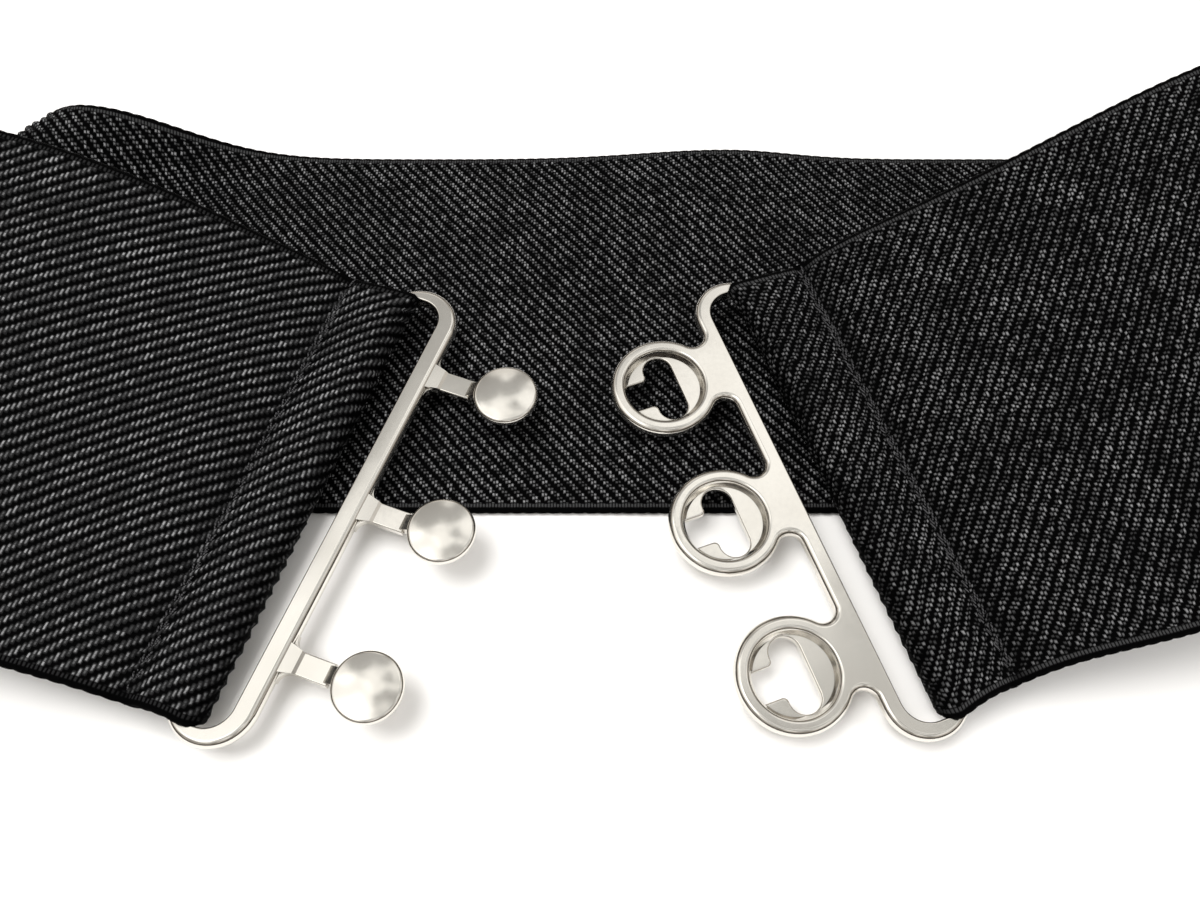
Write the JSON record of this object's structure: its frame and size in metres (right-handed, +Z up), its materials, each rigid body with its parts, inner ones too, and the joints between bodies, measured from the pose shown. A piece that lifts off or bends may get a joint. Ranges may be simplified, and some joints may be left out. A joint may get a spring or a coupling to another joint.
{
  "type": "stretch_belt",
  "caption": "Black ribbed elastic stretch belt lying open as one loop, with a silver interlocking clasp of stud and ring halves",
  "frame": {"origin": "Middle of the back run's underside, where it lies on the table", "axes": "X along the back run, Y from the clasps towards the back run's far edge, Z up"},
  "size_m": [0.3171, 0.1125, 0.0412],
  "materials": {
    "elastic_webbing": "ribbed black elastic",
    "clasp_metal": "polished nickel plate"
  },
  "bodies": {
    "root": {"elastic_band": "elastic_webbing", "stud_clasp": "clasp_metal", "ring_clasp": "clasp_metal"}
  },
  "joints": []
}
